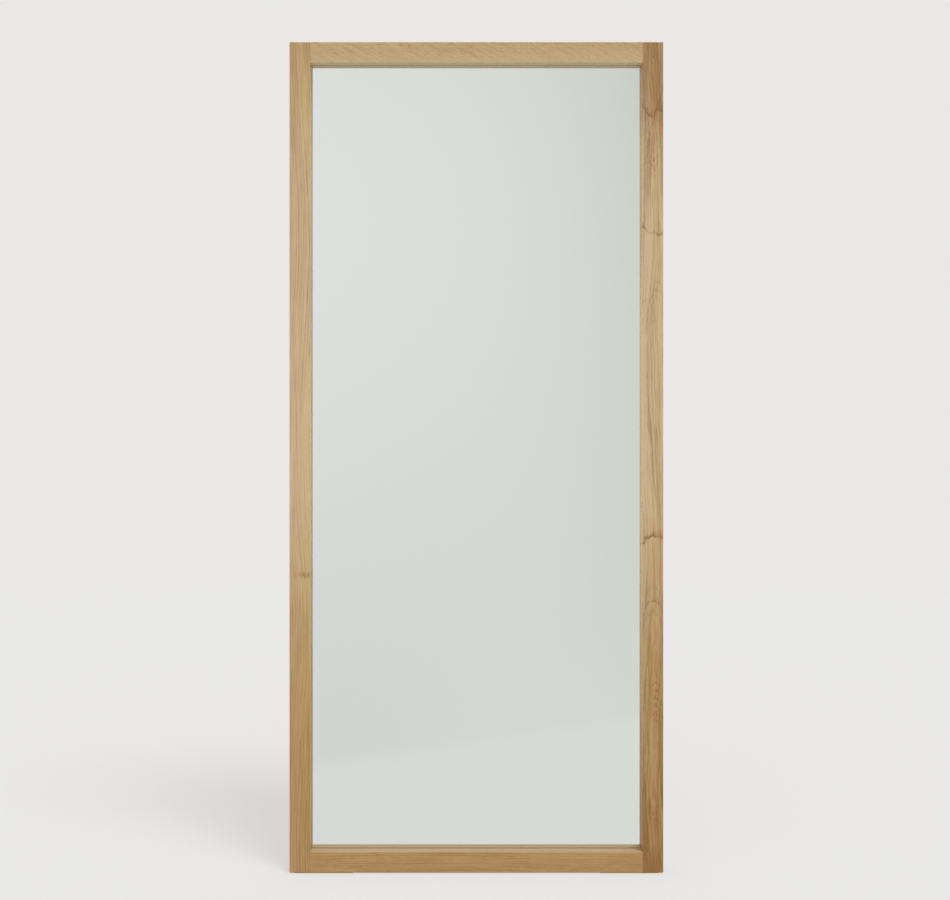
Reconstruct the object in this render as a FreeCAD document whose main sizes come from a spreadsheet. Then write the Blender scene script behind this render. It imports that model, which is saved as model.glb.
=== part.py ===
import FreeCAD, Part

# A tall floor mirror in a plain oak frame, in millimetres, standing upright with its face towards -Y.
#
# Two full-height stiles hold two rails between them on pairs of dowels. The frame's boards are deep
# towards the wall, so the glass lies back from the front face behind a lip. Behind the lip the boards
# are stepped twice: the glass lies in the first, narrow rebate on foam tape, and a thin panel screwed
# over its back lies in the second, wider one. Two strap hangers with swinging rings hold the mirror to
# the wall, four round bumpers keep its back off the wall, and two pads keep its foot from slipping.
#
# Axes: +X to the right as seen from the front, +Y towards the wall, +Z up. The origin is on the floor,
# under the middle of the mirror's box. Unless a comment says otherwise, a piece is drawn with X from the
# mirror's middle, Y from the frame's front face and Z from the frame's foot, and then placed.

import os

import Sketcher
from FreeCAD import Vector

# Driving dimensions: name, value in millimetres (or a count), what it is.
SIZES = (
    ("frame_height", 2000, "outside height of the frame"),
    ("frame_width", 900, "outside width of the frame"),
    ("frame_depth", 45, "depth of the boards, front to back"),
    ("board_width", 50, "width of every board's front face"),
    ("lip_depth", 25, "from the front face back to the glass tape"),
    ("arris_radius", 1.5, "rounding of the boards' long edges and of the stiles' ends"),
    ("glass_rebate", 10, "width of the ledge behind the lip that the glass lies on"),
    ("panel_rebate", 20, "width of both ledges together, where the panel lies"),
    ("glass_thickness", 4, "thickness of the mirror glass"),
    ("glass_clearance", 1.5, "gap round the glass, and height of the setting blocks"),
    ("panel_thickness", 4, "thickness of the back panel"),
    ("panel_clearance", 1.5, "gap round the back panel"),
    ("tape_thickness", 1.5, "thickness of the foam tape in front of the glass"),
    ("tape_width", 7, "width of the foam tape"),
    ("tape_setback", 1, "from the sight edge to the foam tape"),
    ("block_length", 60, "length of a rubber setting block"),
    ("block_inset", 150, "from a stile's inner face to the nearest end of a setting block"),
    ("dowel_diameter", 10, "diameter of a dowel"),
    ("dowel_length", 60, "length of a dowel, half in each board"),
    ("dowel_spacing", 20, "between the two dowels of a corner"),
    ("dowel_chamfer", 1, "chamfer of a dowel's ends"),
    ("glue_gap", 0.1, "room for glue round a dowel"),
    ("glue_end_gap", 1.5, "room for glue past a dowel's end"),
    ("screws_up_stile", 6, "count of panel screws up each stile"),
    ("screws_along_rail", 3, "count of panel screws along each rail"),
    ("stile_screw_end", 160, "from the frame's end to the first panel screw of a stile"),
    ("rail_screw_end", 170, "from a stile's inner face to the first panel screw of a rail"),
    ("screw_diameter", 3.5, "diameter of a screw's shank"),
    ("screw_length", 16, "length of a screw under its head"),
    ("screw_point", 4, "length of a screw's tapered point"),
    ("screw_head_diameter", 7, "diameter of a screw's head"),
    ("screw_head_height", 2.2, "height of a screw's head"),
    ("screw_head_rounding", 0.9, "rounding of a screw head's rim"),
    ("slot_length", 3.8, "length of each bar of the cross slot in a screw's head"),
    ("slot_width", 0.9, "width of each bar of the cross slot"),
    ("slot_depth", 1.3, "depth of the cross slot"),
    ("pilot_gap", 0.05, "room round a screw in its pilot hole"),
    ("pilot_end_gap", 1.5, "room past a screw's point in its pilot hole"),
    ("through_gap", 0.4, "room round a screw in the panel or in a strap"),
    ("hanger_drop", 230, "from the frame's top down to a hanger ring's pivot"),
    ("ring_wire", 3, "diameter of the ring's wire"),
    ("ring_bend", 2.5, "radius of the bends beside the bar, on the wire's centre line"),
    ("ring_leg", 3, "length of the ring's straight legs"),
    ("ring_gap", 0.08, "running clearance of the ring's bar in the strap's eye"),
    ("ring_side_gap", 1, "from the strap's side to the ring's bend"),
    ("strap_leaf", 1.2, "thickness of one leaf of the folded strap"),
    ("strap_width", 14, "width of the strap"),
    ("strap_length", 35, "from the ring's pivot to the strap's end"),
    ("strap_corner", 4, "rounding of the corners at the strap's end"),
    ("strap_screw_first", 8.5, "from the ring's pivot to the first screw"),
    ("strap_screw_spacing", 18, "between the strap's two screws"),
    ("bumper_diameter", 18, "diameter of a wall bumper"),
    ("bumper_thickness", 7, "how far a bumper stands out behind the frame"),
    ("bumper_rounding", 1.5, "rounding of a bumper's rim"),
    ("bumper_end", 45, "from the frame's end to the middle of a bumper"),
    ("pad_thickness", 1.5, "thickness of a floor pad"),
    ("pad_length", 140, "length of a floor pad"),
    ("pad_setback", 2, "from the boards' faces to a floor pad's edges"),
    ("pad_end", 12, "from the frame's outer side to the nearest end of a floor pad"),
)

LEFT = -1
RIGHT = 1
SIDES = {"left": LEFT, "right": RIGHT}
BOTTOM = -1
TOP = 1
ENDS = {"bottom": BOTTOM, "top": TOP}

# Places that several pieces share, as expressions of the sizes. A board's own width is measured from the
# frame's outside inwards.
HALF_WIDTH = "(sizes.frame_width / 2)"
HALF_OPENING = "(sizes.frame_width / 2 - sizes.board_width)"  # middle to a stile's inner face
GLASS_WALL = "(sizes.board_width - sizes.glass_rebate)"  # the glass rebate's wall
PANEL_WALL = "(sizes.board_width - sizes.panel_rebate)"  # the panel rebate's wall
SCREW_LINE = "(sizes.board_width - (sizes.glass_rebate + sizes.panel_rebate) / 2)"  # middle of the ledge
BACK_LAND = "((sizes.board_width - sizes.panel_rebate) / 2)"  # middle of the board's back face
GLASS_FRONT = "(sizes.lip_depth + sizes.tape_thickness)"
GLASS_BACK = "(sizes.lip_depth + sizes.tape_thickness + sizes.glass_thickness)"
PANEL_BACK = "(sizes.lip_depth + sizes.tape_thickness + sizes.glass_thickness + sizes.panel_thickness)"
STRAP_FRONT = "(sizes.frame_depth + 2 * sizes.strap_leaf)"  # the side of a hanger's strap away from the wood
FRAME_FRONT = "-(sizes.frame_depth + sizes.bumper_thickness) / 2"  # the frame's front face in the mirror's Y
FRAME_FOOT = "sizes.pad_thickness"  # the frame's foot above the floor
EYE_BORE = "(sizes.ring_wire / 2 + sizes.ring_gap)"
EYE_RADIUS = "(sizes.ring_wire / 2 + sizes.ring_gap + sizes.strap_leaf)"

CLOSE = 1e-6  # two places nearer than this are one

doc = FreeCAD.newDocument("floor_mirror")
pieces = []


# ---------------------------------------------------------------- sheet and expressions

def make_sheet():
    sheet = doc.addObject("Spreadsheet::Sheet", "sizes")
    for row, (name, value, meaning) in enumerate(SIZES, start=1):
        sheet.set(f"A{row}", name)
        sheet.set(f"B{row}", str(value))
        sheet.set(f"C{row}", meaning)
        sheet.setAlias(f"B{row}", name)
    doc.recompute()
    return sheet


def number(owner, expression):
    """What an expression comes to, as a plain number."""
    result = owner.evalExpression(str(expression))
    return float(getattr(result, "Value", result))


def from_end(end, distance):
    """The height at a distance from the frame's foot (BOTTOM) or down from its top (TOP)."""
    return f"({distance})" if end == BOTTOM else f"(sizes.frame_height - ({distance}))"


def bind_all(owner, **expressions):
    for name, expression in expressions.items():
        owner.setExpression(name, str(expression))


# ---------------------------------------------------------------- bodies, sketches and features

def make_body(name, x="0", y=FRAME_FRONT, z=FRAME_FOOT):
    """An empty piece whose own origin is put at the given place of the mirror."""
    body = doc.addObject("PartDesign::Body", name)
    body.Label = name
    for axis, expression in zip("xyz", (x, y, z)):
        body.setExpression(f"Placement.Base.{axis}", expression)
    pieces.append(body)
    return body


def own_datum(body, role):
    """One of the body's own planes or axes, such as XY_Plane or Z_Axis."""
    return next(part for part in body.Origin.OriginFeatures if part.Role == role)


def make_sketch(body, name, plane, offset="0"):
    """An empty sketch on one of the body's own planes, moved by offset along the plane's normal.

    On XY_Plane the sketch reads X, Y and looks along +Z. On XZ_Plane it reads X, Z and looks along -Y.
    On YZ_Plane it reads Y, Z and looks along +X.
    """
    sketch = body.newObject("Sketcher::SketchObject", f"{body.Label}_{name}")
    sketch.AttachmentSupport = [(own_datum(body, plane), "")]
    sketch.MapMode = "FlatFace"
    sketch.setExpression("AttachmentOffset.Base.z", offset)
    doc.recompute()
    return sketch


def bind_constraint(sketch, kind, places, expression):
    index = sketch.addConstraint(Sketcher.Constraint(kind, *places, number(sketch, expression)))
    sketch.setExpression(f"Constraints[{index}]", str(expression))


def pin_point(sketch, edge, end, across, up):
    """Holds one end of an edge, or a circle's centre, at a place given by two expressions."""
    bind_constraint(sketch, "DistanceX", (-1, 1, edge, end), across)
    bind_constraint(sketch, "DistanceY", (-1, 1, edge, end), up)


def spot(sketch, across, up):
    return Vector(number(sketch, across), number(sketch, up), 0)


def join(sketch, *ends):
    """Makes two edge ends one point, each an edge and its end, 1 or 2."""
    sketch.addConstraint(Sketcher.Constraint("Coincident", *ends))


def draw_arc(sketch, start, centre, end, radius):
    """An arc of less than half a turn from start to end about centre, each a pair of expressions.

    Its radius is bound here, and its ends by what they are joined to. Gives the edge's index and which of
    its ends lies at start and which at end.
    """
    first, hub, last = spot(sketch, *start), spot(sketch, *centre), spot(sketch, *end)
    middle = hub + ((first + last) / 2 - hub).normalize() * number(sketch, radius)
    edge = sketch.addGeometry(Part.Arc(first, middle, last))
    at_start, at_end = (1, 2) if sketch.getPoint(edge, 1).isEqual(first, CLOSE) else (2, 1)
    bind_constraint(sketch, "Radius", (edge,), radius)
    return edge, at_start, at_end


def draw_line(sketch, start, end):
    """A line between two pairs of expressions, given as draw_arc gives its arc."""
    return sketch.addGeometry(Part.LineSegment(spot(sketch, *start), spot(sketch, *end))), 1, 2


def draw_outline(sketch, corners, arc=None):
    """A closed outline: straight lines from corner to corner, and back to the first by a line.

    Each corner is a pair of expressions. Where arc gives a centre and a radius, an arc leads back instead.
    """
    lines = [draw_line(sketch, here, there)[0] for here, there in zip(corners, corners[1:])]
    for before, after in zip(lines, lines[1:]):
        join(sketch, before, 2, after, 1)
    for line, corner in zip(lines, corners):
        pin_point(sketch, line, 1, *corner)
    pin_point(sketch, lines[-1], 2, *corners[-1])
    if arc:
        back, at_last, at_first = draw_arc(sketch, corners[-1], arc[0], corners[0], arc[1])
    else:
        back, at_last, at_first = draw_line(sketch, corners[-1], corners[0])
    join(sketch, back, at_last, lines[-1], 2)
    join(sketch, back, at_first, lines[0], 1)


def draw_rectangle(sketch, low, high):
    """A rectangle between two corners, each a pair of expressions."""
    draw_outline(sketch, [low, (high[0], low[1]), high, (low[0], high[1])])


def draw_circle(sketch, across, up, diameter):
    circle = Part.Circle(spot(sketch, across, up), Vector(0, 0, 1), number(sketch, diameter) / 2)
    edge = sketch.addGeometry(circle)
    pin_point(sketch, edge, 3, across, up)
    bind_constraint(sketch, "Diameter", (edge,), diameter)


def pad(body, sketch, length, backwards=False, both_ways=False):
    """Raises the sketch along its plane's normal, against it, or half each way."""
    feature = body.newObject("PartDesign::Pad", f"{sketch.Label}_pad")
    feature.Profile = sketch
    feature.Reversed = backwards
    feature.Midplane = both_ways
    feature.setExpression("Length", str(length))
    doc.recompute()
    return feature


def pocket(body, sketch, length, along_normal=False, both_ways=False):
    """Cuts the sketch into the body against its plane's normal, along it, or half each way."""
    before = body.Shape.Volume
    feature = body.newObject("PartDesign::Pocket", f"{sketch.Label}_cut")
    feature.Profile = sketch
    feature.Reversed = along_normal
    feature.Midplane = both_ways
    feature.setExpression("Length", str(length))
    doc.recompute()
    if not body.Shape.Volume < before:
        raise RuntimeError(f"{feature.Label} cuts nothing")
    return feature


def chosen_edges(body, wanted):
    """The names of the body's edges that the function wanted picks."""
    return [f"Edge{index}" for index, edge in enumerate(body.Tip.Shape.Edges, start=1) if wanted(edge)]


def soften(body, kind, name, wanted, **sizes):
    """A fillet or chamfer on the edges that wanted picks."""
    base = body.Tip
    edges = chosen_edges(body, wanted)
    if not edges:
        raise RuntimeError(f"{body.Label} has no edges for {name}")
    feature = body.newObject(f"PartDesign::{kind}", f"{body.Label}_{name}")
    feature.Base = (base, edges)
    bind_all(feature, **sizes)
    doc.recompute()
    return feature


def runs_along(edge, axis):
    """True for a straight edge parallel to the axis, named x, y or z."""
    if edge.Curve.TypeId != "Part::GeomLine":
        return False
    step = edge.Vertexes[0].Point - edge.Vertexes[1].Point
    return all(abs(getattr(step, other)) < CLOSE for other in "xyz" if other != axis)


def lies_at(edge, **places):
    """True for an edge whose middle has the given coordinates in its own body."""
    middle = edge.CenterOfMass
    return all(abs(getattr(middle, axis) - place) < CLOSE for axis, place in places.items())


def make_box(name, low, size):
    """A plain slab: its lowest corner and its size, as expressions in the frame's own coordinates."""
    box = doc.addObject("Part::Box", name)
    box.Label = name
    bind_all(box, Length=size[0], Width=size[1], Height=size[2])
    origin = ("0", FRAME_FRONT, FRAME_FOOT)
    for axis, start, offset in zip("xyz", origin, low):
        box.setExpression(f"Placement.Base.{axis}", f"{start} + {offset}")
    pieces.append(box)
    return box


# ---------------------------------------------------------------- screws

def spread(first, last, count):
    """Expressions for count places, evenly spaced from first to last."""
    if count < 2:
        return [f"(({first}) + ({last})) / 2"]
    return [f"({first}) + {step} * (({last}) - ({first})) / {count - 1}" for step in range(count)]


def stile_screw_places(side):
    """The panel screws that go into a stile, as pairs of expressions for X and Z."""
    across = f"{side} * ({HALF_WIDTH} - {SCREW_LINE})"
    heights = spread("sizes.stile_screw_end", "sizes.frame_height - sizes.stile_screw_end",
                     int(sizes.screws_up_stile))
    return [(across, up) for up in heights]


def rail_screw_places(end):
    """The panel screws that go into a rail."""
    up = from_end(end, SCREW_LINE)
    reach = f"{HALF_OPENING} - sizes.rail_screw_end"
    return [(across, up) for across in spread(f"-({reach})", reach, int(sizes.screws_along_rail))]


def hanger_screw_places(side):
    across = f"{side} * ({HALF_WIDTH} - {BACK_LAND})"
    first = "sizes.frame_height - sizes.hanger_drop + sizes.strap_screw_first"
    return [(across, first), (across, f"{first} + sizes.strap_screw_spacing")]


def make_screws(name, places, seat, axis):
    """A row of pan-head screws driven towards the front, their heads on the plane at depth seat.

    One screw is turned about its own middle and repeated along the axis, X_Axis or Z_Axis, in even steps.
    """
    (across, up), (last_across, last_up) = places[0], places[-1]
    body = make_body(name, across, f"{FRAME_FRONT} + {seat}", f"{FRAME_FOOT} + {up}")
    profile = make_sketch(body, "profile", "XY_Plane")
    rim = "(sizes.screw_head_diameter / 2)"
    rim_foot = (rim, "sizes.screw_head_height - sizes.screw_head_rounding")
    rim_top = (f"{rim} - sizes.screw_head_rounding", "sizes.screw_head_height")
    draw_outline(profile, [
        rim_top,
        ("0", "sizes.screw_head_height"),
        ("0", "-sizes.screw_length"),
        ("sizes.screw_diameter / 2", "sizes.screw_point - sizes.screw_length"),
        ("sizes.screw_diameter / 2", "0"),
        (rim, "0"),
        rim_foot,
    ], arc=((rim_top[0], rim_foot[1]), "sizes.screw_head_rounding"))
    turned = body.newObject("PartDesign::Revolution", f"{name}_turned")
    turned.Profile = profile
    turned.ReferenceAxis = (profile, ["V_Axis"])
    doc.recompute()
    features = [turned]
    for bar, long_side, short_side in (("slots_across", "slot_length", "slot_width"),
                                       ("slots_up", "slot_width", "slot_length")):
        slot = make_sketch(body, bar, "XZ_Plane", "-sizes.screw_head_height")
        draw_rectangle(slot, (f"-sizes.{long_side} / 2", f"-sizes.{short_side} / 2"),
                       (f"sizes.{long_side} / 2", f"sizes.{short_side} / 2"))
        features.append(pocket(body, slot, "sizes.slot_depth", along_normal=True))
    row = body.newObject("PartDesign::LinearPattern", f"{name}_row")
    row.Originals = features
    row.Direction = (own_datum(body, axis), [""])
    row.Occurrences = len(places)
    first, last = (across, last_across) if axis == "X_Axis" else (up, last_up)
    row.setExpression("Length", f"({last}) - ({first})")
    body.Tip = row
    doc.recompute()
    return body


def cut_pilot_holes(body, name, places, mouth, depth):
    """Blind holes for screws, bored towards the front from the plane at depth mouth."""
    holes = make_sketch(body, name, "XZ_Plane", f"-({mouth})")
    for across, up in places:
        draw_circle(holes, across, up, "sizes.screw_diameter + 2 * sizes.pilot_gap")
    pocket(body, holes, depth, along_normal=True)


# ---------------------------------------------------------------- the four boards

def dowel_places(end):
    """The middles of a corner's two dowels, as pairs of expressions for Y and Z: half way into the lip, and
    either side of the rail's middle."""
    depth = "sizes.lip_depth / 2"
    return [(depth, from_end(end, f"sizes.board_width / 2 {sign} sizes.dowel_spacing / 2")) for sign in "-+"]


def cut_dowel_bores(body, name, side, end, into_stile):
    """A corner's two bores, from the joint's face into the stile or into the rail."""
    bores = make_sketch(body, name, "YZ_Plane", f"{side} * {HALF_OPENING}")
    for depth, up in dowel_places(end):
        draw_circle(bores, depth, up, "sizes.dowel_diameter + 2 * sizes.glue_gap")
    outwards = side == RIGHT
    pocket(body, bores, "sizes.dowel_length / 2 + sizes.glue_end_gap", along_normal=outwards == into_stile)


def soften_stile_outside(body, side):
    """Rounds every edge of the plain bar but those of its inner side, where the rails butt."""
    inner = number(body, f"{side} * {HALF_OPENING}")
    outer = number(body, f"{side} * {HALF_WIDTH}")

    def wanted(edge):
        return not lies_at(edge, x=inner) and (runs_along(edge, "x") or lies_at(edge, x=outer))

    soften(body, "Fillet", "arrises", wanted, Radius="sizes.arris_radius")


def soften_sight_edge(body, side):
    """Rounds the stile's front inner edge, from one rail to the other."""
    inner = f"{side} * {HALF_OPENING}"
    hub = (f"{inner} + {side} * sizes.arris_radius", "sizes.arris_radius")
    sketch = make_sketch(body, "sight_edge", "XY_Plane", "sizes.board_width")
    draw_outline(sketch, [(inner, hub[1]), (inner, "0"), (hub[0], "0")], arc=(hub, "sizes.arris_radius"))
    pocket(body, sketch, "sizes.frame_height - 2 * sizes.board_width", along_normal=True)


def cut_stile_rebate(body, name, side, wall, front, back):
    """A rebate let into the stile's inner side, as deep as the wall and stopped that far from both ends."""
    sketch = make_sketch(body, name, "XY_Plane", wall)
    draw_rectangle(sketch, (f"{side} * {HALF_OPENING}", front), (f"{side} * ({HALF_WIDTH} - {wall})", back))
    pocket(body, sketch, f"sizes.frame_height - 2 * {wall}", along_normal=True)


def make_stile(name, side):
    body = make_body(name)
    section = make_sketch(body, "section", "XY_Plane")
    draw_rectangle(section, (f"{side} * {HALF_OPENING}", "0"),
                   (f"{side} * {HALF_WIDTH}", "sizes.frame_depth"))
    pad(body, section, "sizes.frame_height")
    soften_stile_outside(body, side)
    soften_sight_edge(body, side)
    cut_stile_rebate(body, "glass_rebate", side, GLASS_WALL, "sizes.lip_depth", GLASS_BACK)
    cut_stile_rebate(body, "panel_rebate", side, PANEL_WALL, GLASS_BACK, "sizes.frame_depth")
    for end_name, end in ENDS.items():
        cut_dowel_bores(body, f"{end_name}_bores", side, end, into_stile=True)
    cut_pilot_holes(body, "panel_pilots", stile_screw_places(side), GLASS_BACK,
                    "sizes.screw_length - sizes.panel_thickness + sizes.pilot_end_gap")
    cut_pilot_holes(body, "hanger_pilots", hanger_screw_places(side), "sizes.frame_depth",
                    "sizes.screw_length - 2 * sizes.strap_leaf + sizes.pilot_end_gap")
    return body


def make_rail(name, end):
    """A rail between the stiles, with its lip and both rebates run through from end to end."""
    body = make_body(name)
    section = make_sketch(body, "section", "YZ_Plane")
    draw_outline(section, [
        ("0", from_end(end, "0")),
        ("0", from_end(end, "sizes.board_width")),
        ("sizes.lip_depth", from_end(end, "sizes.board_width")),
        ("sizes.lip_depth", from_end(end, GLASS_WALL)),
        (GLASS_BACK, from_end(end, GLASS_WALL)),
        (GLASS_BACK, from_end(end, PANEL_WALL)),
        ("sizes.frame_depth", from_end(end, PANEL_WALL)),
        ("sizes.frame_depth", from_end(end, "0")),
    ])
    pad(body, section, f"2 * {HALF_OPENING}", both_ways=True)
    outer = number(body, from_end(end, "0"))
    inner = number(body, from_end(end, "sizes.board_width"))

    def wanted(edge):
        return runs_along(edge, "x") and (lies_at(edge, z=outer) or lies_at(edge, y=0, z=inner))

    soften(body, "Fillet", "arrises", wanted, Radius="sizes.arris_radius")
    for side_name, side in SIDES.items():
        cut_dowel_bores(body, f"{side_name}_bores", side, end, into_stile=False)
    cut_pilot_holes(body, "panel_pilots", rail_screw_places(end), GLASS_BACK,
                    "sizes.screw_length - sizes.panel_thickness + sizes.pilot_end_gap")
    return body


def make_dowels(name, side, end):
    """A corner's two dowels, half in the stile and half in the rail."""
    body = make_body(name)
    sketch = make_sketch(body, "section", "YZ_Plane", f"{side} * {HALF_OPENING}")
    for depth, up in dowel_places(end):
        draw_circle(sketch, depth, up, "sizes.dowel_diameter")
    pad(body, sketch, "sizes.dowel_length", both_ways=True)
    soften(body, "Chamfer", "ends", lambda edge: edge.Curve.TypeId == "Part::GeomCircle",
           Size="sizes.dowel_chamfer")
    return body


# ---------------------------------------------------------------- glass, tape, blocks and panel

def make_glass():
    edge = f"({GLASS_WALL} + sizes.glass_clearance)"  # from the frame's outside to the glass's edge
    make_box("mirror_glass", (f"{edge} - {HALF_WIDTH}", GLASS_FRONT, edge),
             (f"sizes.frame_width - 2 * {edge}", "sizes.glass_thickness", f"sizes.frame_height - 2 * {edge}"))


def make_tapes():
    """Four strips on the back of the lip: the upright ones run the full height of the opening's ledge."""
    near = f"({HALF_OPENING} + sizes.tape_setback)"  # from the middle to an upright strip's near edge
    foot = "(sizes.board_width - sizes.tape_setback - sizes.tape_width)"
    for side_name, side in SIDES.items():
        low = near if side == RIGHT else f"-({near} + sizes.tape_width)"
        make_box(f"glazing_tape_{side_name}", (low, "sizes.lip_depth", foot),
                 ("sizes.tape_width", "sizes.tape_thickness", f"sizes.frame_height - 2 * {foot}"))
    for end_name, end in ENDS.items():
        low = foot if end == BOTTOM else f"sizes.frame_height - {foot} - sizes.tape_width"
        make_box(f"glazing_tape_{end_name}", (f"-{near}", "sizes.lip_depth", low),
                 (f"2 * {near}", "sizes.tape_thickness", "sizes.tape_width"))


def make_setting_blocks():
    """Two rubber blocks under the glass, as thick as the gap round it."""
    for side_name, side in SIDES.items():
        far = f"({HALF_OPENING} - sizes.block_inset)"
        low = f"-{far}" if side == LEFT else f"{far} - sizes.block_length"
        make_box(f"setting_block_{side_name}", (low, GLASS_FRONT, GLASS_WALL),
                 ("sizes.block_length", "sizes.glass_thickness", "sizes.glass_clearance"))


def make_back_panel():
    body = make_body("back_panel")
    edge = f"({PANEL_WALL} + sizes.panel_clearance)"  # from the frame's outside to the panel's edge
    sheet = make_sketch(body, "sheet", "XZ_Plane", f"-({GLASS_BACK})")
    draw_rectangle(sheet, (f"{edge} - {HALF_WIDTH}", edge),
                   (f"{HALF_WIDTH} - {edge}", f"sizes.frame_height - {edge}"))
    pad(body, sheet, "sizes.panel_thickness", backwards=True)
    holes = make_sketch(body, "holes", "XZ_Plane", f"-({GLASS_BACK})")
    for across, up in panel_screw_places():
        draw_circle(holes, across, up, "sizes.screw_diameter + 2 * sizes.through_gap")
    pocket(body, holes, "sizes.panel_thickness")
    return body


def panel_screw_places():
    return (stile_screw_places(LEFT) + stile_screw_places(RIGHT)
            + rail_screw_places(BOTTOM) + rail_screw_places(TOP))


# ---------------------------------------------------------------- hangers, bumpers and pads

def hanger_body(name, side):
    """A piece drawn about the ring's pivot: X along the bar, Y away from the frame's back."""
    return make_body(
        name,
        f"{side} * ({HALF_WIDTH} - {BACK_LAND})",
        f"{FRAME_FRONT} + sizes.frame_depth + {EYE_RADIUS}",
        f"{FRAME_FOOT} + sizes.frame_height - sizes.hanger_drop",
    )


def make_hanger_strap(name, side):
    """A strip folded round the ring's bar and flat against itself, standing above the ring."""
    body = hanger_body(name, side)
    eye = make_sketch(body, "eye", "YZ_Plane")
    draw_circle(eye, "0", "0", f"2 * {EYE_RADIUS}")
    pad(body, eye, "sizes.strap_width", both_ways=True)
    leaves = make_sketch(body, "leaves", "YZ_Plane")
    draw_rectangle(leaves, (f"-{EYE_RADIUS}", "0"),
                   (f"2 * sizes.strap_leaf - {EYE_RADIUS}", "sizes.strap_length"))
    pad(body, leaves, "sizes.strap_width", both_ways=True)
    end = number(body, "sizes.strap_length")
    soften(body, "Fillet", "corners", lambda edge: runs_along(edge, "y") and lies_at(edge, z=end),
           Radius="sizes.strap_corner")
    bore = make_sketch(body, "bore", "YZ_Plane")
    draw_circle(bore, "0", "0", f"2 * {EYE_BORE}")
    pocket(body, bore, "sizes.strap_width", both_ways=True)
    holes = make_sketch(body, "screw_holes", "XZ_Plane", EYE_RADIUS)
    for up in ("sizes.strap_screw_first", "sizes.strap_screw_first + sizes.strap_screw_spacing"):
        draw_circle(holes, "0", up, "sizes.screw_diameter + 2 * sizes.through_gap")
    pocket(body, holes, "2 * sizes.strap_leaf")
    return body


def make_hanger_ring(name, side):
    """A D of round wire hanging from its bar. Half of it is swept, from the bar's middle to the bow's
    lowest point, and mirrored."""
    body = hanger_body(name, side)
    half_bar = "(sizes.strap_width / 2 + sizes.ring_side_gap)"
    half_width = f"({half_bar} + sizes.ring_bend)"
    leg_foot = "-(sizes.ring_bend + sizes.ring_leg)"
    bar_middle = ("0", "0")
    bar_end = (half_bar, "0")
    leg_top = (half_width, "-sizes.ring_bend")
    leg_end = (half_width, leg_foot)
    bow_end = ("0", f"{leg_foot} - {half_width}")
    path = make_sketch(body, "path", "XZ_Plane")
    edges = [
        draw_line(path, bar_middle, bar_end),
        draw_arc(path, bar_end, (half_bar, "-sizes.ring_bend"), leg_top, "sizes.ring_bend"),
        draw_line(path, leg_top, leg_end),
        draw_arc(path, leg_end, ("0", leg_foot), bow_end, half_width),
    ]
    for (edge, start, end), corner in zip(edges, (bar_middle, bar_end, leg_top, leg_end)):
        pin_point(path, edge, start, *corner)
    for before, after in zip(edges, edges[1:]):
        join(path, before[0], before[2], after[0], after[1])
    pin_point(path, edges[-1][0], edges[-1][2], *bow_end)
    wire = make_sketch(body, "wire", "YZ_Plane")
    draw_circle(wire, "0", "0", "sizes.ring_wire")
    half = body.newObject("PartDesign::AdditivePipe", f"{name}_half")
    half.Profile = wire
    half.Spine = (path, [])
    doc.recompute()
    whole = body.newObject("PartDesign::Mirrored", f"{name}_whole")
    whole.Originals = [half]
    whole.MirrorPlane = (own_datum(body, "YZ_Plane"), [""])
    body.Tip = whole
    doc.recompute()
    return body


def make_bumper(name, side, end):
    body = make_body(name)
    sketch = make_sketch(body, "disc", "XZ_Plane", "-sizes.frame_depth")
    draw_circle(sketch, f"{side} * ({HALF_WIDTH} - {BACK_LAND})", from_end(end, "sizes.bumper_end"),
                "sizes.bumper_diameter")
    pad(body, sketch, "sizes.bumper_thickness", backwards=True)
    top = number(body, "sizes.frame_depth + sizes.bumper_thickness")
    soften(body, "Fillet", "rim", lambda edge: lies_at(edge, y=top), Radius="sizes.bumper_rounding")
    return body


def make_floor_pads():
    for side_name, side in SIDES.items():
        far = f"({HALF_WIDTH} - sizes.pad_end)"
        low = f"-{far}" if side == LEFT else f"{far} - sizes.pad_length"
        make_box(f"floor_pad_{side_name}", (low, "sizes.pad_setback", "-sizes.pad_thickness"),
                 ("sizes.pad_length", "sizes.frame_depth - 2 * sizes.pad_setback", "sizes.pad_thickness"))


# ---------------------------------------------------------------- the whole mirror

def check_document():
    doc.recompute()
    for item in doc.Objects:
        if "Invalid" in item.State or "Error" in item.State:
            raise RuntimeError(f"{item.Label} failed: {item.State}")
    for piece in pieces:
        if piece.Shape.isNull() or not piece.Shape.isValid() or not piece.Shape.Solids:
            raise RuntimeError(f"{piece.Label} has no sound shape")


def write_pieces():
    os.makedirs("parts", exist_ok=True)
    for piece in pieces:
        piece.Shape.exportStep(os.path.join("parts", f"{piece.Label}.step"))


sizes = make_sheet()
for side_name, side in SIDES.items():
    make_stile(f"{side_name}_stile", side)
for end_name, end in ENDS.items():
    make_rail(f"{end_name}_rail", end)
    for side_name, side in SIDES.items():
        make_dowels(f"dowels_{end_name}_{side_name}", side, end)
        make_bumper(f"wall_bumper_{end_name}_{side_name}", side, end)
make_glass()
make_tapes()
make_setting_blocks()
make_back_panel()
for side_name, side in SIDES.items():
    make_screws(f"panel_screws_{side_name}", stile_screw_places(side), PANEL_BACK, "Z_Axis")
for end_name, end in ENDS.items():
    make_screws(f"panel_screws_{end_name}", rail_screw_places(end), PANEL_BACK, "X_Axis")
for side_name, side in SIDES.items():
    make_hanger_strap(f"hanger_strap_{side_name}", side)
    make_hanger_ring(f"hanger_ring_{side_name}", side)
    make_screws(f"hanger_screws_{side_name}", hanger_screw_places(side),
                STRAP_FRONT, "Z_Axis")
make_floor_pads()
check_document()
write_pieces()
print(len(pieces), "pieces")
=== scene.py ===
import math

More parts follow.
